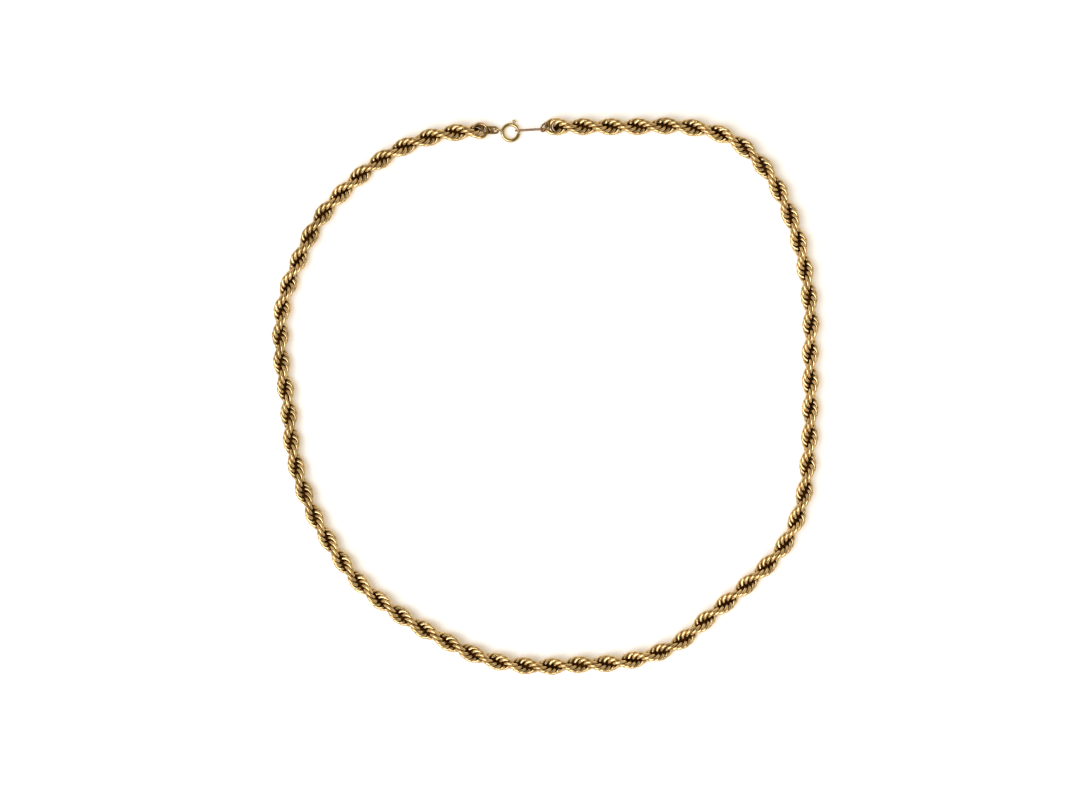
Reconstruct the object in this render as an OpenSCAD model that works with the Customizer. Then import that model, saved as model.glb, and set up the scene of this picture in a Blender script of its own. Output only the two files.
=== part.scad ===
// Rope chain necklace, lying closed on a flat surface.
// The rope of links is drawn as the round bar that it fills, because its links are finer than
// this model draws. The clasp and the rings that join it to the rope are drawn as they are.
// Lengths in mm. X runs across the neck, Y from the front of the neck to the clasp, Z is up.

/* [Rope] */
// Outside diameter of the rope, which is also the diameter of one link
rope_d = 5.1; // [3.5:0.1:7]
// Length over which the rope rounds off at each end
rope_taper = 1.6; // [0.8:0.1:2.5]
// Diameter of the flat at each end of the rope, where the end ring is soldered on
rope_face_d = 3.4; // [3:0.1:3.5]
// Sides of the round bar
rope_sides = 12; // [8:2:12]

/* [End rings] */
// Wire diameter of both end rings
end_wire_d = 0.55; // [0.4:0.05:0.6]
// Middle radius of the bend in both end rings
end_bend_r = 1.1; // [0.9:0.05:1.25]
// How far the left end ring reaches from the rope towards the clasp
left_reach = 3.4; // [2.6:0.1:4]
// How far the right end ring reaches from the rope towards the clasp
right_reach = 1.3; // [1.2:0.1:2]
// How far the right end ring's tip lies in front of the line between the rope's ends
right_drop = 0.5; // [0:0.1:0.6]
// How far the left end ring is rolled out of the flat
left_roll = 30; // [0:5:30]
// How far the right end ring is rolled out of the flat
right_roll = -30; // [-35:5:0]

/* [Spring ring] */
// Outside diameter of the spring ring
ring_d = 5.8; // [5:0.1:7]
// Diameter of the tube that the spring ring is bent from
ring_tube_d = 1.1; // [1:0.05:1.2]
// Wall of that tube
ring_wall = 0.15; // [0.12:0.01:0.18]
// Angle of the gap's lower edge, from +X and seen from above
gap_low = -12; // [-20:1:-5]
// Angle of the gap's upper edge
gap_high = 35; // [30:1:42]
// How deep the closed bolt enters the far side of the gap, as an angle
recess = 4; // [2:1:6]
// Angle of the loop on the side of the spring ring
tab_angle = 165; // [163:1:180]
// Wire diameter of that loop
tab_wire_d = 0.45; // [0.35:0.05:0.5]
// Middle radius of that loop
tab_bend_r = 0.85; // [0.8:0.05:1]

/* [Bolt] */
// Clearance between the bolt and the bore that it slides in
bolt_clear = 0.06; // [0.04:0.01:0.08]
// Angle of the thumb knob with the clasp closed
knob_angle = 69; // [62:1:75]
// Diameter of the thumb knob
knob_d = 1.1; // [0.8:0.1:1.4]
// Thickness of the thumb knob
knob_h = 0.7; // [0.5:0.05:0.9]
// Gap between the thumb knob and the outside of the tube
knob_lift = 0.25; // [0.2:0.05:0.4]
// Diameter of the knob's stem
stem_d = 0.4; // [0.3:0.05:0.45]
// Width of the slot less the diameter of the stem
slot_clear = 0.12; // [0.08:0.02:0.16]

/* [Jump ring] */
// Wire diameter of the long jump ring
jump_wire_d = 0.5; // [0.4:0.05:0.6]
// Inner radius of the long jump ring's round ends
jump_inner_r = 0.7; // [0.65:0.05:0.8]
// Angle at which the jump ring holds the bolt, from +X and seen from above
jump_angle = 12; // [8:1:16]
// How far the round ends' centres lie inside the two pieces that the jump ring holds
jump_slack = 0.15; // [0:0.05:0.2]

/* [Fit] */
// Gap between two solids that are soldered together on the real chain
solder_gap = 0.1; // [0.1:0.05:0.2]

/* [Hidden] */
$fn = 48;
full_turn = 360;

gold = [0.80, 0.62, 0.36];
pale_gold = [0.88, 0.76, 0.48];

// Middle of the rope, from its left end round the neck to its right end.
route = [
    [-17, 77.5], [-31, 76], [-44, 71], [-55.5, 62.5], [-65, 52], [-71.5, 39.5],
    [-76, 26.5], [-76.5, 12], [-74.5, -2], [-73, -16], [-69, -29.5], [-62.5, -42],
    [-54, -53.5], [-43, -62.5], [-31, -69.5], [-18, -75.5], [-4, -78], [10, -77.5],
    [24, -76.5], [37.5, -72], [48.5, -63], [59, -54], [69, -43.5], [74.5, -31],
    [76.5, -17], [77, -2.5], [77, 11.5], [77, 25.5], [75, 39.5], [71, 53],
    [64.5, 65.5], [54, 75], [40.5, 78.5], [26, 78.5], [12, 78.5], [0.2, 78.5]
];
spans = len(route) - 1;
rings_per_span = 2;

// A smooth curve through the route: each span is a cubic that leaves a point along the line
// between that point's two neighbours.
function neighbour(i) =
    i < 0 ? 2 * route[0] - route[1] :
    i > spans ? 2 * route[spans] - route[spans - 1] : route[i];
function span_end(i) = [neighbour(i - 1), neighbour(i), neighbour(i + 1), neighbour(i + 2)];
function on_span(p, t) =
    0.5 * (2 * p[1] + (p[2] - p[0]) * t
    + (2 * p[0] - 5 * p[1] + 4 * p[2] - p[3]) * t * t
    + (3 * p[1] - p[0] - 3 * p[2] + p[3]) * t * t * t);
function along_span(p, t) =
    0.5 * ((p[2] - p[0]) + 2 * (2 * p[0] - 5 * p[1] + 4 * p[2] - p[3]) * t
    + 3 * (3 * p[1] - p[0] - 3 * p[2] + p[3]) * t * t);
function unit(v) = v / norm(v);

left_end = route[0];
right_end = route[spans];
left_in = unit(along_span(span_end(0), 0));
right_in = -unit(along_span(span_end(spans - 1), 1));

// Each ring of the bar: its middle, the direction of the rope there, and its share of the
// full diameter. Over rope_taper an end rounds off from the full bar to its flat, along a
// quarter of an ellipse that these steps follow.
face_share = rope_face_d / rope_d;
taper_steps = [0, 0.2, 0.5, 1];
function rounded(step) = face_share + (1 - face_share) * sqrt(1 - pow(1 - step, 2));
left_taper = [for (step = taper_steps)
    [left_end + left_in * rope_taper * step, left_in, rounded(step)]];
right_taper = [for (k = [len(taper_steps) - 1 : -1 : 0])
    let (step = taper_steps[k])
    [right_end + right_in * rope_taper * step, -right_in, rounded(step)]];
middle = [for (i = [0 : spans - 1], k = [0 : rings_per_span - 1])
    if (i + k > 0)
        let (p = span_end(i), t = k / rings_per_span)
        [on_span(p, t), unit(along_span(p, t)), 1]];
rings = concat(left_taper, middle, right_taper);

// The bar stands on flats, so its half width is the radius of the circle inside its sides.
corner_r = rope_d / 2 / cos(180 / rope_sides);
bar_points = [for (r = rings, k = [0 : rope_sides - 1])
    let (a = (k + 0.5) * full_turn / rope_sides, side = corner_r * r[2] * cos(a))
    [r[0].x - r[1].y * side, r[0].y + r[1].x * side, rope_d / 2 + corner_r * r[2] * sin(a)]];
bar_sides = [for (j = [0 : len(rings) - 2], k = [0 : rope_sides - 1])
    let (a = j * rope_sides + k, b = j * rope_sides + (k + 1) % rope_sides)
    each [[a, b, b + rope_sides], [a, b + rope_sides, a + rope_sides]]];
bar_ends = [
    [for (k = [rope_sides - 1 : -1 : 0]) k],
    [for (k = [0 : rope_sides - 1]) (len(rings) - 1) * rope_sides + k]
];

// The part's origin is the middle of the rope's outline, on the surface that it lies on.
xs = [for (p = bar_points) p.x];
ys = [for (p = bar_points) p.y];
origin = [(min(xs) + max(xs)) / 2, (min(ys) + max(ys)) / 2, 0];

// The clasp's own frame: its start is the rope's left end, and its X axis runs to the right end.
clasp_span = norm(right_end - left_end);
clasp_turn = atan2(right_end.y - left_end.y, right_end.x - left_end.x);

// The long jump ring stands on its edge, and everything that it holds is at its middle height.
jump_outer_r = jump_inner_r + jump_wire_d;
clasp_z = jump_outer_r;

left_tip = [left_reach, 0, clasp_z];
right_tip = [clasp_span - right_reach, -right_drop, clasp_z];

ring_tube_r = ring_tube_d / 2;
ring_bend_r = ring_d / 2 - ring_tube_r;
ring_bore_r = ring_tube_r - ring_wall;
bolt_r = ring_bore_r - bolt_clear;

// The side loop is soldered into the tube's wall, and the left end ring's wire runs through
// the loop's middle.
tab_sink = 0.25;
tab_out = ring_bend_r + ring_tube_r + tab_bend_r + tab_wire_d / 2 - tab_sink;
ring_middle = left_tip - tab_out * [cos(tab_angle), sin(tab_angle), 0];

// Where the bolt reaches to with the clasp closed, and how far it turns to open the gap. The
// rod ends a little past the knob, and the bore leaves room behind it for the spring.
past_knob = 8;
spring_room = 12;
bolt_low = gap_low - recess;
recess_low = bolt_low - recess;
bolt_high = knob_angle + past_knob;
bolt_travel = gap_high - bolt_low;
bore_high = bolt_high + bolt_travel + spring_room;
slot_w = stem_d + slot_clear;
slot_edge = asin((stem_d / 2 + slot_clear) / ring_bend_r);
slot_low = knob_angle - slot_edge;
slot_high = knob_angle + bolt_travel + slot_edge;

// The two points that the jump ring holds together.
jump_from = ring_middle + ring_bend_r * [cos(jump_angle), sin(jump_angle), 0];
jump_way = unit(right_tip - jump_from);
jump_length = norm(right_tip - jump_from) - 2 * jump_slack;

// Draws its children with the part's origin at the middle of the outline.
module centred() {
    translate(-origin) children();
}

// Draws its children in the clasp's frame.
module in_clasp() {
    centred() translate(left_end) rotate([0, 0, clasp_turn]) children();
}

// A piece of a ring in the XY plane, from one angle to another.
module bent_rod(bend_r, rod_r, low, high) {
    rotate([0, 0, low]) rotate_extrude(angle = high - low) translate([bend_r, 0]) circle(r = rod_r);
}

// A U of wire in the XY plane: the bend's middle line passes through the origin, and the legs
// run along +X.
module wire_u(bend_r, wire_r, length) {
    translate([bend_r, 0, 0]) {
        bent_rod(bend_r, wire_r, 90, 270);
        for (side = [-1, 1])
            translate([0, side * bend_r, 0]) rotate([0, 90, 0])
                cylinder(r = wire_r, h = length - bend_r);
    }
}

// An end ring from its tip towards the rope. The tip is at the origin, and away leads from it to
// the middle of the rope's end. The legs are cut off square, just short of the rope's flat.
module end_ring(away, roll) {
    turn = atan2(away.y, away.x);
    slope = asin(away.z / norm(away));
    difference() {
        rotate([0, 0, turn]) rotate([0, -slope, 0]) rotate([roll, 0, 0])
            wire_u(end_bend_r, end_wire_d / 2, norm(away) + rope_d / 2);
        translate([away.x - solder_gap, -rope_d, -rope_d])
            cube([2 * rope_d, 2 * rope_d, 3 * rope_d]);
    }
}

module rope_chain() {
    color(gold) centred() polyhedron(points = bar_points, faces = concat(bar_sides, bar_ends));
}

module left_end_ring() {
    color(gold) in_clasp() translate(left_tip) rotate([0, 0, 180])
        end_ring([left_reach, 0, rope_d / 2 - clasp_z], left_roll);
}

module right_end_ring() {
    color(gold) in_clasp() translate(right_tip)
        end_ring([right_reach, right_drop, rope_d / 2 - clasp_z], right_roll);
}

module spring_ring() {
    color(pale_gold) in_clasp() translate(ring_middle) difference() {
        union() {
            bent_rod(ring_bend_r, ring_tube_r, gap_high, gap_low + full_turn);
            rotate([0, 0, tab_angle]) translate([tab_out, 0, 0]) rotate([90, 0, 0])
                rotate_extrude() translate([tab_bend_r, 0]) circle(r = tab_wire_d / 2);
        }
        bent_rod(ring_bend_r, ring_bore_r, gap_high - recess, bore_high);
        bent_rod(ring_bend_r, ring_bore_r, recess_low, gap_low + recess);
        rotate([0, 0, slot_low]) rotate_extrude(angle = slot_high - slot_low)
            translate([ring_bend_r, -slot_w / 2]) square([ring_tube_d, slot_w]);
    }
}

module bolt() {
    knob_start = ring_bend_r + ring_tube_r + knob_lift;
    knob_edge = knob_h / 2;
    color(pale_gold) in_clasp() translate(ring_middle) {
        bent_rod(ring_bend_r, bolt_r, bolt_low, bolt_high);
        rotate([0, 0, knob_angle]) rotate([0, 90, 0]) {
            translate([0, 0, ring_bend_r]) cylinder(d = stem_d, h = knob_start + knob_edge - ring_bend_r);
            translate([0, 0, knob_start]) rotate_extrude() {
                square([knob_d / 2 - knob_edge, knob_h]);
                translate([knob_d / 2 - knob_edge, knob_edge]) intersection() {
                    circle(r = knob_edge);
                    translate([0, -knob_h]) square(2 * knob_h);
                }
            }
        }
    }
}

module jump_ring() {
    wire_r = jump_wire_d / 2;
    bend_r = jump_inner_r + wire_r;
    color(pale_gold) in_clasp() translate(jump_from + jump_slack * jump_way)
        rotate([0, 0, atan2(jump_way.y, jump_way.x)]) rotate([90, 0, 0]) {
            bent_rod(bend_r, wire_r, 90, 270);
            translate([jump_length, 0, 0]) bent_rod(bend_r, wire_r, -90, 90);
            for (side = [-1, 1])
                translate([0, side * bend_r, 0]) rotate([0, 90, 0])
                    cylinder(r = wire_r, h = jump_length);
        }
}

rope_chain();
left_end_ring();
right_end_ring();
spring_ring();
bolt();
jump_ring();
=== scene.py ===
"""Dresses the rope chain necklace: the rope's links, the wire that joins it to the clasp's end
rings, the gold of every part, and a plain stage. Lengths in metres."""
import math

import bpy
import numpy as np
from bpy.props import FloatProperty, FloatVectorProperty, IntProperty, PointerProperty
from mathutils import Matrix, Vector


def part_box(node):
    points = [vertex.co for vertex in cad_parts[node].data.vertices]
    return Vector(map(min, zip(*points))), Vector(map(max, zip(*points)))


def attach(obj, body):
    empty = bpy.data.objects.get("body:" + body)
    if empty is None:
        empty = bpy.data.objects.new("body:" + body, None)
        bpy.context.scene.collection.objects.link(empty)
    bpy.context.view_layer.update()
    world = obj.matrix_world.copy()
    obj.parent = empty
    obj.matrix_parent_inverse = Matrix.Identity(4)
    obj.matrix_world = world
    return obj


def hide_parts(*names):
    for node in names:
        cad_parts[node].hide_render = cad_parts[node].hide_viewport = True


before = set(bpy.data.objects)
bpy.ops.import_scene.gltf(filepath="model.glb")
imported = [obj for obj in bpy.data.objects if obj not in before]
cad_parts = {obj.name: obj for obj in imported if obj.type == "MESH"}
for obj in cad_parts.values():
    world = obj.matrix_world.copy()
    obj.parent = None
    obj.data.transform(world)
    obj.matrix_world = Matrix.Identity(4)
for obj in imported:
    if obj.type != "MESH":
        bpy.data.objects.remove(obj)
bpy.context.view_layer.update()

bl_info = {
    "name": "Rope chain",
    "version": (1, 0, 0),
    "blender": (4, 5, 0),
    "location": "3D View > Sidebar > Rope chain",
    "description": "Makes the links, the finishes and the stage of a rope chain necklace",
    "category": "Object",
}

# The middle of the rope from its left end round to its right end, as in the model's source.
ROUTE = np.array([
    (-0.0170, 0.0775), (-0.0310, 0.0760), (-0.0440, 0.0710), (-0.0555, 0.0625),
    (-0.0650, 0.0520), (-0.0715, 0.0395), (-0.0760, 0.0265), (-0.0765, 0.0120),
    (-0.0745, -0.0020), (-0.0730, -0.0160), (-0.0690, -0.0295), (-0.0625, -0.0420),
    (-0.0540, -0.0535), (-0.0430, -0.0625), (-0.0310, -0.0695), (-0.0180, -0.0755),
    (-0.0040, -0.0780), (0.0100, -0.0775), (0.0240, -0.0765), (0.0375, -0.0720),
    (0.0485, -0.0630), (0.0590, -0.0540), (0.0690, -0.0435), (0.0745, -0.0310),
    (0.0765, -0.0170), (0.0770, -0.0025), (0.0770, 0.0115), (0.0770, 0.0255),
    (0.0750, 0.0395), (0.0710, 0.0530), (0.0645, 0.0655), (0.0540, 0.0750),
    (0.0405, 0.0785), (0.0260, 0.0785), (0.0120, 0.0785), (0.0002, 0.0785),
])
STEPS_PER_SPAN = 120

# How far the rope has turned about its own middle, in half turns, at each tenth of its length.
# At a whole number the link there lies flat, and the rope looks widest.
HALF_TURNS = (-0.18, 6.20, 12.68, 19.10, 25.46, 31.74, 37.88, 43.98, 50.05, 56.16, 62.36)
TURN_CURVE = 4

# What the small chance differences between the links are drawn from.
SEED = 7

# Where the rounded end of the core is cut flat, as a share of the way to its tip.
CORE_TIP = 0.999

# How much closer the points round a link's wire stand on its outer side.
CROWDING = 0.3

# The photo's frame: its size in pixels, the pixel at the route's own zero, and the real length
# that a pixel covers.
PHOTO_SIZE = (1080, 810)
ROUTE_ZERO_PIXEL = (544.8, 397.3)
PIXEL_LENGTH = 0.00029

# The camera shows what lies between these distances from it.
CLIP = (0.01, 10.0)

UP = np.array([0.0, 0.0, 1.0])


class RopeSettings(bpy.types.PropertyGroup):
    """Sizes of the rope's links."""
    wire_d: FloatProperty(
        name="Wire", description="Diameter of a link's wire",
        default=0.00098, unit="LENGTH", subtype="DISTANCE")
    step: FloatProperty(
        name="Step", description="Distance along the rope from one link to the next",
        default=0.001215, unit="LENGTH", subtype="DISTANCE")
    gap: FloatProperty(
        name="Gap", description="Angle of the gap in a link",
        default=math.radians(30), unit="ROTATION", subtype="ANGLE")
    left_out: FloatProperty(
        name="Left end", description="How far the first link stands out of the rope's left end",
        default=0.0008, unit="LENGTH", subtype="DISTANCE")
    right_out: FloatProperty(
        name="Right end", description="How far the last link stands out of the rope's right end",
        default=0.0003, unit="LENGTH", subtype="DISTANCE")
    shift: FloatProperty(
        name="Shift", description="How far a link may lie from its even place",
        default=0.00003, unit="LENGTH", subtype="DISTANCE")
    lean: FloatProperty(
        name="Lean", description="How far a link may be turned from its even place",
        default=math.radians(1.5), unit="ROTATION", subtype="ANGLE")
    segments: IntProperty(
        name="Segments", description="Pieces along a link's wire", default=14)
    sides: IntProperty(
        name="Sides", description="Pieces around a link's wire", default=6)
    fine_segments: IntProperty(
        name="Fine segments", description="Pieces along the wire of the few closed links",
        default=28)
    fine_sides: IntProperty(
        name="Fine sides", description="Pieces around the wire of the few closed links",
        default=10)
    stretches: IntProperty(
        name="Stretches", description="Pieces that the rope is made in", default=4)
    closed_left: IntProperty(
        name="Closed at the left", description="Links soldered shut at the left end", default=2)
    closed_right: IntProperty(
        name="Closed at the right", description="Links soldered shut at the right end", default=3)
    # The core is a near-black strand of painted shade in the rope's middle, standing in for the
    # shade deep inside the rope.
    core_d: FloatProperty(
        name="Core", description="Diameter of the strand of grime in the rope's middle",
        default=0.0018, unit="LENGTH", subtype="DISTANCE")
    core_inset: FloatProperty(
        name="Core's inset", description="How far that strand ends inside the rope",
        default=0.0022, unit="LENGTH", subtype="DISTANCE")
    core_round: FloatProperty(
        name="Core's end", description="Length of the strand's rounded end",
        default=0.0012, unit="LENGTH", subtype="DISTANCE")
    core_steps: IntProperty(
        name="Core's steps", description="Points along that strand", default=200)
    core_end_steps: IntProperty(
        name="Core's end steps", description="Points along each rounded end of it", default=6)
    core_sides: IntProperty(
        name="Core's sides", description="Pieces around that strand", default=8)


class EndSettings(bpy.types.PropertyGroup):
    """Sizes of the end rings, as in the model's source, and of what joins them to the rope."""
    wire_d: FloatProperty(
        name="Wire", description="Diameter of an end ring's wire where it enters the rope",
        default=0.00058, unit="LENGTH", subtype="DISTANCE")
    bend_r: FloatProperty(
        name="Bend", description="Middle radius of an end ring's bend",
        default=0.0011, unit="LENGTH", subtype="DISTANCE")
    bend_depth: FloatProperty(
        name="Bend's depth", description="Length of the joining wire's bend inside the rope",
        default=0.00088, unit="LENGTH", subtype="DISTANCE")
    left_reach: FloatProperty(
        name="Left reach", description="Distance from the rope to the left end ring's tip",
        default=0.0034, unit="LENGTH", subtype="DISTANCE")
    right_reach: FloatProperty(
        name="Right reach", description="Distance from the rope to the right end ring's tip",
        default=0.0013, unit="LENGTH", subtype="DISTANCE")
    right_drop: FloatProperty(
        name="Right drop", description="How far the right end ring's tip lies to the front",
        default=0.0005, unit="LENGTH", subtype="DISTANCE")
    left_roll: FloatProperty(
        name="Left roll", description="How far the left end ring is rolled out of the flat",
        default=math.radians(30), unit="ROTATION", subtype="ANGLE")
    right_roll: FloatProperty(
        name="Right roll", description="How far the right end ring is rolled out of the flat",
        default=math.radians(-30), unit="ROTATION", subtype="ANGLE")
    overlap: FloatProperty(
        name="Overlap", description="How much of an end ring's leg the joining wire covers",
        default=0.00035, unit="LENGTH", subtype="DISTANCE")
    depth: FloatProperty(
        name="Depth", description="How far the joining wire reaches into the rope",
        default=0.0015, unit="LENGTH", subtype="DISTANCE")
    link_d: FloatProperty(
        name="Small link", description="Outside diameter of the small links at the left end",
        default=0.0027, unit="LENGTH", subtype="DISTANCE")
    link_wire_d: FloatProperty(
        name="Small link's wire", description="Diameter of the small links' wire",
        default=0.00068, unit="LENGTH", subtype="DISTANCE")
    link_out: FloatProperty(
        name="Small links' place", description="Distance from the rope to the first small link",
        default=0.00075, unit="LENGTH", subtype="DISTANCE")
    link_step: FloatProperty(
        name="Small links' step", description="Distance from one small link to the next",
        default=0.0007, unit="LENGTH", subtype="DISTANCE")
    link_slant: FloatProperty(
        name="Small links' slant", description="Direction of a small link, seen from above",
        default=math.radians(-58), unit="ROTATION", subtype="ANGLE")
    link_tilt: FloatProperty(
        name="Small links' tilt", description="How far a small link is tilted out of the flat",
        default=math.radians(66), unit="ROTATION", subtype="ANGLE")
    bend_steps: IntProperty(
        name="Bend's steps", description="Points along the joining wire's bend", default=17)
    sides: IntProperty(
        name="Sides", description="Pieces around the joining wire", default=10)
    link_segments: IntProperty(
        name="Small link's segments", description="Pieces along a small link's wire", default=20)
    link_sides: IntProperty(
        name="Small link's sides", description="Pieces around a small link's wire", default=8)


class GoldSettings(bpy.types.PropertyGroup):
    """Colours of the metal."""
    link: FloatVectorProperty(
        name="Links", description="Gold of the links where they are rubbed bright",
        default=(0.81, 0.56, 0.245), subtype="COLOR", size=3)
    link_dull: FloatVectorProperty(
        name="Links, dull", description="Gold of the links where it has gone dull",
        default=(0.49, 0.33, 0.12), subtype="COLOR", size=3)
    # Patina and painted shade together: this brown darkens the grooves and the rope's deep middle,
    # standing partly for the shade there.
    groove: FloatVectorProperty(
        name="Grooves", description="Tarnish between the links",
        default=(0.075, 0.022, 0.003), subtype="COLOR", size=3)
    # Painted shade: the near-black colour of the strand in the rope's middle, which stands in for
    # the shade deep inside the rope.
    painted_shade: FloatVectorProperty(
        name="Painted_shade", description="Dirt in the rope's middle",
        default=(0.018, 0.005, 0.001), subtype="COLOR", size=3)
    edge: FloatVectorProperty(
        name="Edges", description="What tints the metal's reflection at a glancing angle",
        default=(0.45, 0.32, 0.20), subtype="COLOR", size=3)
    clasp: FloatVectorProperty(
        name="Clasp", description="Gold of the spring ring and its bolt",
        default=(0.80, 0.62, 0.30), subtype="COLOR", size=3)
    clasp_dull: FloatVectorProperty(
        name="Clasp, dull", description="Olive brown of the clasp where it has gone dull",
        default=(0.30, 0.21, 0.07), subtype="COLOR", size=3)
    ring: FloatVectorProperty(
        name="Jump ring", description="Reddish brown of the jump ring",
        default=(0.50, 0.27, 0.13), subtype="COLOR", size=3)
    ring_dull: FloatVectorProperty(
        name="Jump ring, dull", description="Grey brown of the jump ring's dull places",
        default=(0.30, 0.22, 0.16), subtype="COLOR", size=3)
    end: FloatVectorProperty(
        name="End rings", description="Brown gold of the end rings",
        default=(0.34, 0.21, 0.08), subtype="COLOR", size=3)
    end_dull: FloatVectorProperty(
        name="End rings, dull", description="Dark brown of the end rings' dull places",
        default=(0.12, 0.06, 0.02), subtype="COLOR", size=3)


class WearSettings(bpy.types.PropertyGroup):
    """How the gold is worn. Scales count for one metre, and roughness goes from 0 to 1."""
    patch_scale: FloatProperty(
        name="Patches", description="Scale of the dull patches", default=90.0)
    speck_scale: FloatProperty(
        name="Specks", description="Scale of the small specks", default=1100.0)
    scratch_scale: FloatProperty(
        name="Scratches", description="Scale of the fine scratches", default=5200.0)
    speck_share: FloatProperty(
        name="Share of specks", description="What share of the dull places the specks make",
        default=0.4, subtype="FACTOR")
    age_edges: FloatVectorProperty(
        name="Edges of the patches", description="Noise where dull places begin and are full",
        default=(0.38, 0.62), size=2)
    shade_low: FloatProperty(
        name="Darkest link", description="Shade of the darkest link", default=0.89)
    shade_span: FloatProperty(
        name="Span of shades", description="From the darkest link to the brightest",
        default=0.22)
    # How thick the grooves' brown is, patina and painted shade together.
    tarnish_and_shade_low: FloatProperty(
        name="Thin tarnish", description="Tarnish of a groove where it is thinnest", default=0.7)
    tarnish_and_shade_span: FloatProperty(
        name="Span of tarnish", description="How much the specks thicken it", default=0.5)
    age_roughness: FloatProperty(
        name="Dull roughness", description="What dull places add to the roughness",
        default=0.10)
    tarnish_roughness: FloatProperty(
        name="Tarnish roughness", description="What tarnish adds to the roughness",
        default=0.25)
    scratch_roughness: FloatProperty(
        name="Scratch roughness", description="What scratches add to the roughness",
        default=0.06)
    tarnish_metal: FloatProperty(
        name="Metal under tarnish", description="How much of the metal's gloss tarnish takes",
        default=0.35)
    scratch_depth: FloatProperty(
        name="Scratch depth", description="Depth of the fine scratches",
        default=0.00002, unit="LENGTH", subtype="DISTANCE")
    coat_roughness: FloatProperty(
        name="Coat roughness", description="Roughness of the rubbed surface", default=0.12)
    # Where the grooves' brown, partly patina and partly painted shade, lies on the inner side of
    # the wire and deep in the rope.
    inner_edges: FloatVectorProperty(
        name="Inner side", description="Where tarnish begins and is full on the inner side of "
        "a link's wire, from 0 outside to 1 inside", default=(0.52, 0.88), size=2)
    depth_edges: FloatVectorProperty(
        name="Depth", description="Where tarnish begins and is full inside the rope, from 0 at "
        "its surface to 1 in its middle", default=(0.46, 0.95), size=2)
    depth_tarnish_and_shade: FloatProperty(
        name="Deep tarnish", description="Tarnish in the rope's middle", default=0.95)
    side_places: FloatVectorProperty(
        name="Sides", description="Where the necklace's dull left and its bright right begin",
        default=(-0.08, 0.05), unit="LENGTH", size=2)
    side_ages: FloatVectorProperty(
        name="Age of the sides", description="How dull the left is, and the right",
        default=(0.75, 0.3), size=2)
    ring_ages: FloatVectorProperty(
        name="Age of the jump ring", description="How dull it is at the clasp and far from it",
        default=(0.2, 1.6), size=2)


class StageSettings(bpy.types.PropertyGroup):
    """Floor, lights and camera."""
    floor: FloatVectorProperty(
        name="Floor", description="Colour of the floor",
        default=(0.95, 0.95, 0.95), subtype="COLOR", size=3)
    floor_size: FloatProperty(
        name="Floor's size", description="Length of each side of the floor",
        default=4.0, unit="LENGTH", subtype="DISTANCE")
    floor_roughness: FloatProperty(
        name="Floor's roughness", description="How matt the floor is",
        default=0.9, subtype="FACTOR")
    glow: FloatVectorProperty(
        name="Glow", description="Light that comes up through the floor and thins its shadows",
        default=(0.30, 0.25, 0.16), subtype="COLOR", size=3)
    around: FloatVectorProperty(
        name="Room", description="Light of the room all round",
        default=(0.62, 0.58, 0.52), subtype="COLOR", size=3)
    overhead: FloatVectorProperty(
        name="Overhead", description="Light from straight above, where the camera hangs",
        default=(0.10, 0.09, 0.08), subtype="COLOR", size=3)
    overhead_edge: FloatProperty(
        name="Overhead's edge", description="Height where the light overhead begins, as a share "
        "of the way from the horizon to straight above", default=0.70, subtype="FACTOR")
    overhead_full: FloatProperty(
        name="Overhead's middle", description="Height, as such a share, where it is full",
        default=0.93, subtype="FACTOR")
    lamp_power: FloatProperty(
        name="Lamp", description="Power of the soft lamp", default=20.0, unit="POWER")
    lamp_colour: FloatVectorProperty(
        name="Lamp's colour", description="Cool light, which leaves the shadows warm",
        default=(0.94, 0.99, 1.12), subtype="COLOR", size=3, max=2.0)
    lamp_place: FloatVectorProperty(
        name="Lamp's place", description="Where the soft lamp stands",
        default=(-0.60, -0.45, 1.30), unit="LENGTH", subtype="XYZ", size=3)
    lamp_size: FloatVectorProperty(
        name="Lamp's size", description="Width and height of the soft lamp",
        default=(1.4, 1.2), unit="LENGTH", size=2)
    lens: FloatProperty(
        name="Lens", description="Focal length in millimetres", default=85.0, unit="CAMERA")
    sensor: FloatProperty(
        name="Sensor", description="Width of the film in millimetres", default=36.0,
        unit="CAMERA")


def unit(v):
    """Each row divided by its own length."""
    return v / np.linalg.norm(v, axis=-1, keepdims=True)


def rope_radius():
    """Half the height of the rope's solid."""
    low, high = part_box("rope_chain")
    return (high.z - low.z) / 2


def route_curve():
    """The route as a smooth curve in the frame: on each span the point is a cubic of t that
    leaves each given point along the line between its two neighbours, and the whole is moved
    so that its outline has the same middle as the rope's solid. Returns the points, their unit
    directions and the length up to each."""
    ends = 2 * ROUTE[[0, -1]] - ROUTE[[1, -2]]
    p = np.concatenate([ends[:1], ROUTE, ends[1:]])
    a, b, c, d = (p[i:len(ROUTE) - 1 + i, None, :] for i in range(4))
    t = np.linspace(0, 1, STEPS_PER_SPAN, endpoint=False)[None, :, None]
    at = 0.5 * (2 * b + (c - a) * t + (2 * a - 5 * b + 4 * c - d) * t**2
                + (3 * b - a - 3 * c + d) * t**3)
    points = np.concatenate([at.reshape(-1, 2), ROUTE[-1:]])
    low, high = (np.array(corner[:2]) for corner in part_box("rope_chain"))
    points = points + (low + high) / 2 - (points.min(0) + points.max(0)) / 2
    length = np.append(0.0, np.cumsum(np.linalg.norm(np.diff(points, axis=0), axis=1)))
    return points, unit(np.gradient(points, axis=0)), length


def wire_angles(sides):
    """Angles round a link's wire from its outer side: u = v - CROWDING sin v for even steps of
    v, which sets them closer on the side that shows."""
    v = np.linspace(0, 2 * math.pi, sides, endpoint=False)
    return v - CROWDING * np.sin(v)


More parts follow.
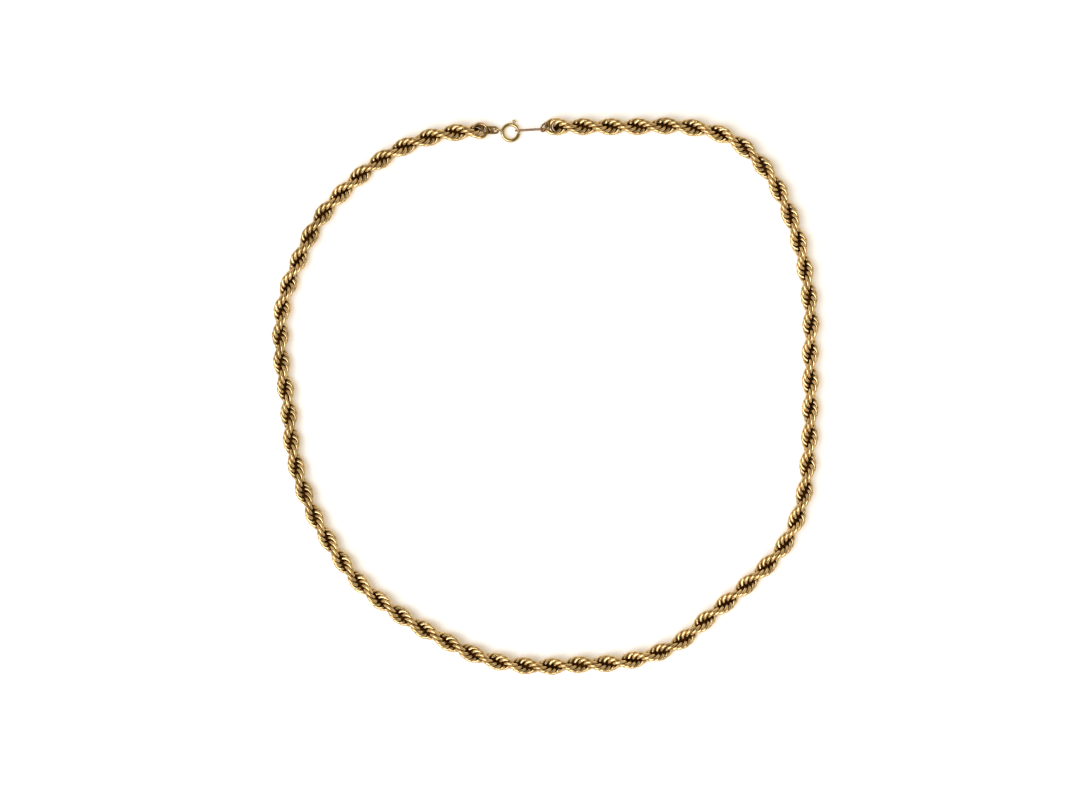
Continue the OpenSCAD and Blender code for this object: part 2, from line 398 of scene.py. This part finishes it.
def link_grid(ring_r, wire_r, gap, segments, sides):
    """A link in its own plane, with its gap at +X: t runs along the wire and u round it, and a
    point is ((ring_r + wire_r cos u) cos t, (ring_r + wire_r cos u) sin t, wire_r sin u). A gap
    of 0 closes the ring. Returns the points, the faces with the flat ends last, and how far
    each point is on the inner side of the wire, from 0 to 1."""
    rows = segments + (gap > 0)
    t = gap / 2 + (2 * math.pi - gap) * np.arange(rows)[:, None] / segments
    u = wire_angles(sides)[None, :]
    far = ring_r + wire_r * np.cos(u)
    points = np.stack([far * np.cos(t), far * np.sin(t),
                       np.broadcast_to(wire_r * np.sin(u), (rows, sides))], -1)
    i = np.arange(segments)[:, None]
    j = np.arange(sides)[None, :]
    near, beyond = i * sides, (i + 1) % rows * sides
    turn = (j + 1) % sides
    faces = np.stack([near + j, beyond + j, beyond + turn, near + turn], -1)
    faces = faces.reshape(-1, 4).tolist()
    if gap > 0:
        faces += [list(range(sides)), list(range(rows * sides - 1, segments * sides - 1, -1))]
    inner = np.tile((1 - np.cos(u[0])) / 2, rows)
    return points.reshape(-1, 3), faces, inner


def wire_along(path, flat, radius, sides):
    """A round wire along a path that lies in one plane: point = path + radius (cos u S + sin u N),
    where N is the plane's normal and S is at right angles to N and to the path. The radius is
    one number or one for each point of the path. Its ends are closed by flat faces."""
    way = unit(np.gradient(path, axis=0))
    side = np.cross(flat, way)
    u = np.linspace(0, 2 * math.pi, sides, endpoint=False)[None, :, None]
    rows = len(path)
    radius = np.broadcast_to(radius, rows)[:, None, None]
    points = path[:, None] + radius * (np.cos(u) * side[:, None] + np.sin(u) * flat)
    i = np.arange(rows - 1)[:, None] * sides
    j = np.arange(sides)[None, :]
    turn = (j + 1) % sides
    faces = np.stack([i + j, i + sides + j, i + sides + turn, i + turn], -1).reshape(-1, 4)
    ends = [list(range(sides)), list(range(rows * sides - 1, (rows - 1) * sides - 1, -1))]
    return points.reshape(-1, 3), faces.tolist() + ends


def place(points, middle, x_way, y_way, z_way):
    """Copies of some points, one in each frame: middle + x X + y Y + z Z."""
    return (middle[:, None] + points[None, :, :1] * x_way[:, None]
            + points[None, :, 1:2] * y_way[:, None] + points[None, :, 2:] * z_way[:, None])


def copies(faces, step, count):
    """The faces of count copies, where each copy has step points."""
    return [[corner + step * n for corner in face] for n in range(count) for face in faces]


def make_piece(name, points, faces, material=None, **values):
    """A mesh object from arrays. Its flat ends are the faces that haven't four corners. Each
    further argument is an attribute of that name, with one value for each point."""
    mesh = bpy.data.meshes.new(name)
    mesh.from_pydata(points.reshape(-1, 3).tolist(), [], faces)
    mesh.polygons.foreach_set("use_smooth", [len(face) == 4 for face in faces])
    for key, array in values.items():
        attribute = mesh.attributes.new(key, "FLOAT", "POINT")
        attribute.data.foreach_set("value", np.ascontiguousarray(array, np.float32).reshape(-1))
    if material:
        mesh.materials.append(material)
    piece = bpy.data.objects.new(name, mesh)
    bpy.context.scene.collection.objects.link(piece)
    return piece


def add_to_rope(piece):
    """Marks a piece as part of the rope, in place of the solid bar."""
    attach(piece, "root")
    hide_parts("rope_chain")


def rope_frames(at, points, direction, length):
    """The rope's middle, its way along and its side at given lengths along it."""
    middle = [np.interp(at, length, points[:, i]) for i in (0, 1)]
    along = [np.interp(at, length, direction[:, i]) for i in (0, 1)]
    middle = np.stack([*middle, np.full(len(at), rope_radius())], -1)
    along = unit(np.stack([*along, np.zeros(len(at))], -1))
    return middle, along, np.cross(UP, along)


def make_group(name, inputs, outputs):
    """A new node group with its named inputs and outputs."""
    group = bpy.data.node_groups.new(name, "ShaderNodeTree")
    for way, sockets in (("INPUT", inputs), ("OUTPUT", outputs)):
        for label, kind in sockets.items():
            group.interface.new_socket(label, in_out=way, socket_type="NodeSocket" + kind)
    given = group.nodes.new("NodeGroupInput").outputs
    return group, given, group.nodes.new("NodeGroupOutput").inputs


def add_node(tree, kind, values=None, **settings):
    """A node with its settings, and with values or links given for its inputs by name."""
    node = tree.nodes.new("ShaderNode" + kind)
    for key, value in settings.items():
        setattr(node, key, value)
    for key, value in (values or {}).items():
        if isinstance(value, bpy.types.NodeSocket):
            tree.links.new(value, node.inputs[key])
        else:
            node.inputs[key].default_value = value
    return node


def blend_colours(tree, factor, a, b):
    """Colour a going over to colour b. The sockets go by number, because the node has several
    of each name."""
    return add_node(tree, "Mix", {0: factor, 6: a, 7: b}, data_type="RGBA").outputs[2]


def sum_of(tree, kind, a, b, c=None):
    """One step of arithmetic on two or three values. MULTIPLY_ADD is a b + c."""
    values = {0: a, 1: b} if c is None else {0: a, 1: b, 2: c}
    return add_node(tree, "Math", values, operation=kind).outputs[0]


def rise(tree, value, low, high, top=1.0):
    """A smooth rise from 0 at low to top at high."""
    return add_node(tree, "MapRange", {"Value": value, "From Min": low, "From Max": high,
                                       "To Max": top}, interpolation_type="SMOOTHSTEP").outputs[0]


def worn_gold():
    """The gold's effect: bright metal with dull patches, a shade of its own for each link, a brown
    in the grooves that is partly patina and partly painted shade, a roughness that follows them,
    and fine scratches."""
    if "worn gold" in bpy.data.node_groups:
        return bpy.data.node_groups["worn gold"]
    s = bpy.context.scene.wear_settings
    group, given, result = make_group(
        "worn gold",
        {"Place": "Vector", "Bright": "Color", "Dull": "Color", "Tarnish_and_shade": "Color",
         "Age": "Float", "Groove": "Float", "Shade": "Float", "Polish": "Float",
         "Rubbed": "Float"},
        {"Color": "Color", "Metal": "Float", "Roughness": "Float", "Coat": "Float",
         "Scratches": "Float"})

    def noise(scale, detail, roughness=0.5):
        return add_node(group, "TexNoise", {"Vector": given["Place"], "Scale": scale,
                                            "Detail": detail, "Roughness": roughness}).outputs[0]
    patches = noise(s.patch_scale, 2.0)
    specks = noise(s.speck_scale, 3.0)
    scratches = noise(s.scratch_scale, 2.0, 0.6)
    both = sum_of(group, "MULTIPLY_ADD", patches, 1 - s.speck_share,
                  sum_of(group, "MULTIPLY", specks, s.speck_share))
    age = sum_of(group, "MULTIPLY", rise(group, both, *s.age_edges), given["Age"])
    metal = blend_colours(group, age, given["Bright"], given["Dull"])
    shade = sum_of(group, "MULTIPLY_ADD", given["Shade"], s.shade_span, s.shade_low)
    shaded = add_node(group, "VectorMath", {0: metal, "Scale": shade},
                      operation="SCALE").outputs[0]
    # The grooves' brown, partly patina and partly painted shade, laid over the metal.
    thickness = sum_of(group, "MULTIPLY_ADD", specks, s.tarnish_and_shade_span, s.tarnish_and_shade_low)
    tarnish_and_shade = add_node(group, "Clamp", {
        "Value": sum_of(group, "MULTIPLY", given["Groove"], thickness)}).outputs[0]
    rough = sum_of(group, "MULTIPLY_ADD", tarnish_and_shade, s.tarnish_roughness, given["Polish"])
    rough = sum_of(group, "MULTIPLY_ADD", age, s.age_roughness, rough)
    rough = sum_of(group, "MULTIPLY_ADD", scratches, s.scratch_roughness, rough)
    gloss = sum_of(group, "MULTIPLY_ADD", tarnish_and_shade, -s.tarnish_metal, 1.0)
    clean = sum_of(group, "SUBTRACT", 1.0, tarnish_and_shade)
    coat = sum_of(group, "MULTIPLY", clean, given["Rubbed"])
    for label, socket in (("Color", blend_colours(group, tarnish_and_shade, shaded, given["Tarnish_and_shade"])),
                          ("Metal", gloss), ("Roughness", rough), ("Coat", coat),
                          ("Scratches", scratches)):
        group.links.new(socket, result[label])
    return group


def gold(name, bright, dull, age=0.5, polish=0.15, masks=None, coat=0.0, scratches=0.3):
    """A gold with the worn effect. age is how dull it is, polish its roughness where it is
    clean, coat the gloss over it where it is clean, and scratches how strong they are. masks
    fills the effect's Groove, Shade and Age from the material's own nodes."""
    if name in bpy.data.materials:
        return bpy.data.materials[name]
    colours = bpy.context.scene.gold_settings
    wear = bpy.context.scene.wear_settings
    material = bpy.data.materials.new(name)
    material.use_nodes = True
    tree = material.node_tree
    shader = tree.nodes["Principled BSDF"]
    effect = tree.nodes.new("ShaderNodeGroup")
    effect.node_tree = worn_gold()
    place_of = add_node(tree, "TexCoord").outputs["Object"]
    tree.links.new(place_of, effect.inputs["Place"])
    for key, colour in (("Bright", bright), ("Dull", dull), ("Tarnish_and_shade", colours.groove)):
        effect.inputs[key].default_value = (*colour, 1)
    for key, value in (("Age", age), ("Shade", 0.5), ("Polish", polish), ("Rubbed", coat)):
        effect.inputs[key].default_value = value
    for key, socket in (masks(tree, place_of) if masks else {}).items():
        tree.links.new(socket, effect.inputs[key])
    tree.links.new(effect.outputs["Color"], shader.inputs["Base Color"])
    tree.links.new(effect.outputs["Metal"], shader.inputs["Metallic"])
    tree.links.new(effect.outputs["Roughness"], shader.inputs["Roughness"])
    bump = add_node(tree, "Bump", {"Strength": scratches, "Distance": wear.scratch_depth,
                                   "Height": effect.outputs["Scratches"]})
    tree.links.new(bump.outputs["Normal"], shader.inputs["Normal"])
    shader.inputs["Specular Tint"].default_value = (*colours.edge, 1)
    if coat:
        tree.links.new(effect.outputs["Coat"], shader.inputs["Coat Weight"])
    shader.inputs["Coat Roughness"].default_value = wear.coat_roughness
    return material


def age_across(tree, place_of, places, ages):
    """How dull the metal is along X: it goes evenly from the first age at the first place to the
    second at the second."""
    across = add_node(tree, "SeparateXYZ", {"Vector": place_of}).outputs["X"]
    return add_node(tree, "MapRange", {
        "Value": across, "From Min": places[0], "From Max": places[1],
        "To Min": ages[0], "To Max": ages[1]}).outputs[0]


def link_masks(tree, place_of):
    """Where the links are darkened and dull: the inner side of the wire and what lies deep in the
    rope are darkened brown, partly as patina and partly as painted shade, and the necklace's left
    side is duller than its right."""
    s = bpy.context.scene.wear_settings

    def attribute(name):
        return add_node(tree, "Attribute", attribute_name=name).outputs["Fac"]
    # Patina and painted shade: darker on the inner side of the wire and deep in the rope.
    groove = sum_of(tree, "MAXIMUM", rise(tree, attribute("inner"), *s.inner_edges),
                    rise(tree, attribute("depth"), *s.depth_edges, s.depth_tarnish_and_shade))
    return {"Groove": groove, "Shade": attribute("shade"),
            "Age": age_across(tree, place_of, s.side_places, s.side_ages)}


def ring_masks(tree, place_of):
    """The jump ring goes from reddish brown at the clasp to grey brown at its far end."""
    low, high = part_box("jump_ring")
    ages = bpy.context.scene.wear_settings.ring_ages
    return {"Age": age_across(tree, place_of, (low.x, high.x), ages)}


def link_gold():
    """Gold of the rope's links."""
    s = bpy.context.scene.gold_settings
    return gold("rope gold", s.link, s.link_dull, polish=0.14, masks=link_masks, coat=0.5)


def painted_shade():
    """Painted shade: a near-black finish for the strand in the rope's middle, which stands in for
    the shade there that no light reaches.
    """
    s = bpy.context.scene.gold_settings
    return gold("painted_shade", s.painted_shade, s.groove, age=0.6, polish=0.6)


def end_gold():
    """Gold of the end rings and of the wire at the rope's ends."""
    s = bpy.context.scene.gold_settings
    return gold("end ring gold", s.end, s.end_dull, age=0.8, polish=0.2)


class ROPE_OT_links(bpy.types.Operator):
    """Make the rope's links"""
    bl_idname = "rope.links"
    bl_label = "Links"

    def execute(self, context):
        s = context.scene.rope_settings
        rope_r = rope_radius()
        wire_r = s.wire_d / 2
        points, direction, length = route_curve()
        total = length[-1]
        first, last = rope_r - s.left_out, total - rope_r + s.right_out
        count = round((last - first) / s.step) + 1
        at = np.linspace(first, last, count)
        turns = np.polyfit(np.linspace(0, 1, len(HALF_TURNS)), HALF_TURNS, TURN_CURVE)
        chance = np.random.default_rng(SEED)
        angle = math.pi * np.polyval(turns, at / total) + chance.uniform(-s.lean, s.lean, count)
        middle, along, side = rope_frames(at, points, direction, length)
        middle += chance.uniform(-s.shift, s.shift, (count, 3))
        shade = chance.uniform(0, 1, count)
        turn_cos, turn_sin = np.cos(angle)[:, None], np.sin(angle)[:, None]
        across = turn_cos * side + turn_sin * UP
        normal = turn_cos * UP - turn_sin * side
        order = np.arange(count)
        open_links = order[s.closed_left:count - s.closed_right]
        closed = np.append(order[:s.closed_left], order[count - s.closed_right:])
        for gap, segments, sides, name, groups in (
                (s.gap, s.segments, s.sides, "rope_links_{}",
                 np.array_split(open_links, s.stretches)),
                (0, s.fine_segments, s.fine_sides, "rope_end_links", [closed])):
            grid, faces, inner = link_grid(rope_r - wire_r, wire_r, gap, segments, sides)
            for n, group in enumerate(groups):
                placed = place(grid, middle[group], along[group], across[group], normal[group])
                # How deep each point lies in the rope; deep points get the grooves' brown, partly
                # patina and partly painted shade.
                way = along[group][:, None]
                away = placed - middle[group][:, None]
                away -= (away * way).sum(-1, keepdims=True) * way
                add_to_rope(make_piece(
                    name.format(n + 1), placed, copies(faces, len(grid), len(group)),
                    link_gold(), inner=np.tile(inner, len(group)),
                    depth=1 - np.linalg.norm(away, axis=-1) / rope_r,
                    shade=np.repeat(shade[group], len(grid))))
        self.core(s, points, direction, length)
        return {"FINISHED"}

    def core(self, s, points, direction, length):
        """The near-black strand of painted shade along the rope's middle, which stands in for the
        shade deep inside the rope. Near each end its radius falls off as a quarter of an ellipse:
        sqrt(1 - q q), where q goes from 0 to nearly 1 at the end."""
        low, high = s.core_inset, length[-1] - s.core_inset
        cap = s.core_round * (1 - np.cos(np.linspace(0, math.pi / 2, s.core_end_steps)))
        straight = np.linspace(low + s.core_round, high - s.core_round, s.core_steps)[1:-1]
        at = np.concatenate([low + cap, straight, high - cap[::-1]])
        q = np.clip(1 - np.minimum(at - low, high - at) / s.core_round, 0, CORE_TIP)
        radius = s.core_d / 2 * np.sqrt(1 - q * q)
        middle = rope_frames(at, points, direction, length)[0]
        # Painted shade: a near-black strand where the rope's middle lies in shade.
        add_to_rope(make_piece(
            "rope_core", *wire_along(middle, UP, radius, s.core_sides), painted_shade()))


class ROPE_OT_ends(bpy.types.Operator):
    """Make the wire that joins the end rings to the rope, and the small links at the left end"""
    bl_idname = "rope.ends"
    bl_label = "Ends"

    def execute(self, context):
        s = context.scene.end_settings
        points = route_curve()[0]
        rope_r = rope_radius()
        left, right = (np.append(point, rope_r) for point in (points[0], points[-1]))
        x_way = unit(right - left)
        y_way = np.cross(UP, x_way)
        low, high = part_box("jump_ring")
        lower = UP * ((high.z + low.z) / 2 - rope_r)
        left_tip = left + s.left_reach * x_way + lower
        right_tip = right - s.right_reach * x_way - s.right_drop * y_way + lower
        for name, end, tip, roll in (("left_joining_wire", left, left_tip, s.left_roll),
                                     ("right_joining_wire", right, right_tip, s.right_roll)):
            add_to_rope(self.joining_wire(s, name, end, tip, roll))
        add_to_rope(self.small_links(s, left, unit(left_tip - left), x_way, y_way))
        return {"FINISHED"}

    def joining_wire(self, s, name, end, tip, roll):
        """A U of wire that carries an end ring's two legs on into the rope and closes behind the
        last link. In the end ring's own plane its legs are straight, and its bend is half an
        ellipse: (bend_depth sin f, bend_r cos f)."""
        way = unit(end - tip)
        flat_side = unit(np.cross(UP, way))
        wide = math.cos(roll) * flat_side + math.sin(roll) * np.cross(way, flat_side)
        f = np.linspace(0, math.pi, s.bend_steps)
        turn = s.depth - s.bend_depth
        leg = [-s.overlap, (turn - s.overlap) / 2]
        x = np.concatenate([leg, turn + s.bend_depth * np.sin(f), leg[::-1]])
        y = np.concatenate([[s.bend_r] * 2, s.bend_r * np.cos(f), [-s.bend_r] * 2])
        path = end + x[:, None] * way + y[:, None] * wide
        return make_piece(name, *wire_along(path, np.cross(way, wide), s.wire_d / 2, s.sides),
                          end_gold())

    def small_links(self, s, end, out, x_way, y_way):
        """Two small closed links side by side outside the rope's left end, leaning across it."""
        wire_r = s.link_wire_d / 2
        grid, faces, _ = link_grid(s.link_d / 2 - wire_r, wire_r, 0, s.link_segments,
                                   s.link_sides)
        middle = end + np.array([[s.link_out], [s.link_out + s.link_step]]) * out
        long_way = math.cos(s.link_slant) * x_way + math.sin(s.link_slant) * y_way
        short_way = math.cos(s.link_tilt) * np.cross(UP, long_way) + math.sin(s.link_tilt) * UP
        ways = [np.tile(way, (2, 1)) for way in
                (long_way, short_way, np.cross(long_way, short_way))]
        return make_piece("left_small_links", place(grid, middle, *ways),
                          copies(faces, len(grid), 2), end_gold())


class ROPE_OT_clasp(bpy.types.Operator):
    """Finish the clasp and the end rings"""
    bl_idname = "rope.clasp"
    bl_label = "Clasp"

    def execute(self, context):
        s = context.scene.gold_settings
        clasp = gold("clasp gold", s.clasp, s.clasp_dull, age=0.55, polish=0.04, scratches=0.1)
        ring = gold("jump ring gold", s.ring, s.ring_dull, polish=0.14, masks=ring_masks)
        finishes = {"spring_ring": clasp, "bolt": clasp, "jump_ring": ring,
                    "left_end_ring": end_gold(), "right_end_ring": end_gold()}
        for name, material in finishes.items():
            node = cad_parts[name]
            if not node.material_slots:
                raise RuntimeError(name + " has no place for its material")
            for slot in node.material_slots:
                slot.material = material
        return {"FINISHED"}


class ROPE_OT_stage(bpy.types.Operator):
    """Make the floor, the lights and the camera"""
    bl_idname = "rope.stage"
    bl_label = "Stage"

    def execute(self, context):
        s = context.scene.stage_settings
        self.floor(s)
        self.lights(context.scene, s)
        self.camera(context.scene, s)
        context.scene.view_settings.view_transform = "Standard"
        return {"FINISHED"}

    def floor(self, s):
        """A pale matt floor that glows faintly."""
        material = bpy.data.materials.new("floor")
        material.use_nodes = True
        shader = material.node_tree.nodes["Principled BSDF"]
        shader.inputs["Base Color"].default_value = (*s.floor, 1)
        shader.inputs["Roughness"].default_value = s.floor_roughness
        shader.inputs["Emission Color"].default_value = (*s.glow, 1)
        shader.inputs["Emission Strength"].default_value = 1.0
        corners = s.floor_size / 2 * np.array([(-1, -1, 0), (1, -1, 0), (1, 1, 0), (-1, 1, 0)])
        make_piece("floor", corners, [[0, 1, 2, 3]], material)

    def lights(self, scene, s):
        """Soft light from all round, less of it from straight above, and one large soft lamp."""
        world = bpy.data.worlds.new("studio")
        scene.world = world
        world.use_nodes = True
        tree = world.node_tree
        towards = add_node(tree, "TexCoord").outputs["Generated"]
        height = add_node(tree, "SeparateXYZ", {"Vector": towards}).outputs["Z"]
        above = rise(tree, height, s.overhead_edge, s.overhead_full)
        light = blend_colours(tree, above, (*s.around, 1), (*s.overhead, 1))
        tree.links.new(light, tree.nodes["Background"].inputs["Color"])
        lamp = bpy.data.lights.new("soft lamp", "AREA")
        lamp.shape = "RECTANGLE"
        lamp.size, lamp.size_y = s.lamp_size
        lamp.energy = s.lamp_power
        lamp.color = s.lamp_colour
        holder = bpy.data.objects.new("soft lamp", lamp)
        holder.location = s.lamp_place
        holder.rotation_euler = (-Vector(s.lamp_place)).to_track_quat("-Z", "Y").to_euler()
        scene.collection.objects.link(holder)

    def camera(self, scene, s):
        """Straight above the middle of the photo's frame. Its height over the rope's middle is
        the width of the frame there times lens / sensor."""
        route_zero = route_curve()[0][0] - ROUTE[0]
        middle = PIXEL_LENGTH * np.array([PHOTO_SIZE[0] / 2 - ROUTE_ZERO_PIXEL[0],
                                          ROUTE_ZERO_PIXEL[1] - PHOTO_SIZE[1] / 2]) + route_zero
        lens = bpy.data.cameras.new("camera")
        lens.lens, lens.sensor_width = s.lens, s.sensor
        lens.clip_start, lens.clip_end = CLIP
        eye = bpy.data.objects.new("camera", lens)
        height = PHOTO_SIZE[0] * PIXEL_LENGTH * s.lens / s.sensor
        eye.location = (middle[0], middle[1], rope_radius() + height)
        scene.collection.objects.link(eye)
        scene.camera = eye


class ROPE_PT_panel(bpy.types.Panel):
    """Lists the steps that make the necklace"""
    bl_label = "Rope chain"
    bl_space_type = "VIEW_3D"
    bl_region_type = "UI"
    bl_category = "Rope chain"

    def draw(self, context):
        for step in STEPS:
            self.layout.operator(step.bl_idname)


GROUPS = {"rope_settings": RopeSettings, "end_settings": EndSettings,
          "gold_settings": GoldSettings, "wear_settings": WearSettings,
          "stage_settings": StageSettings}
STEPS = (ROPE_OT_stage, ROPE_OT_links, ROPE_OT_ends, ROPE_OT_clasp)
CLASSES = (*GROUPS.values(), *STEPS, ROPE_PT_panel)


def register():
    """Makes the steps and their settings known to Blender."""
    for c in CLASSES:
        bpy.utils.register_class(c)
    for name, group in GROUPS.items():
        setattr(bpy.types.Scene, name, PointerProperty(type=group))


def unregister():
    """Takes the steps and their settings out of Blender again."""
    for name in GROUPS:
        delattr(bpy.types.Scene, name)
    for c in reversed(CLASSES):
        bpy.utils.unregister_class(c)


def main():
    """Runs each step."""
    register()
    bpy.ops.rope.stage()
    bpy.ops.rope.links()
    bpy.ops.rope.ends()
    bpy.ops.rope.clasp()


if __name__ == "__main__":
    main()
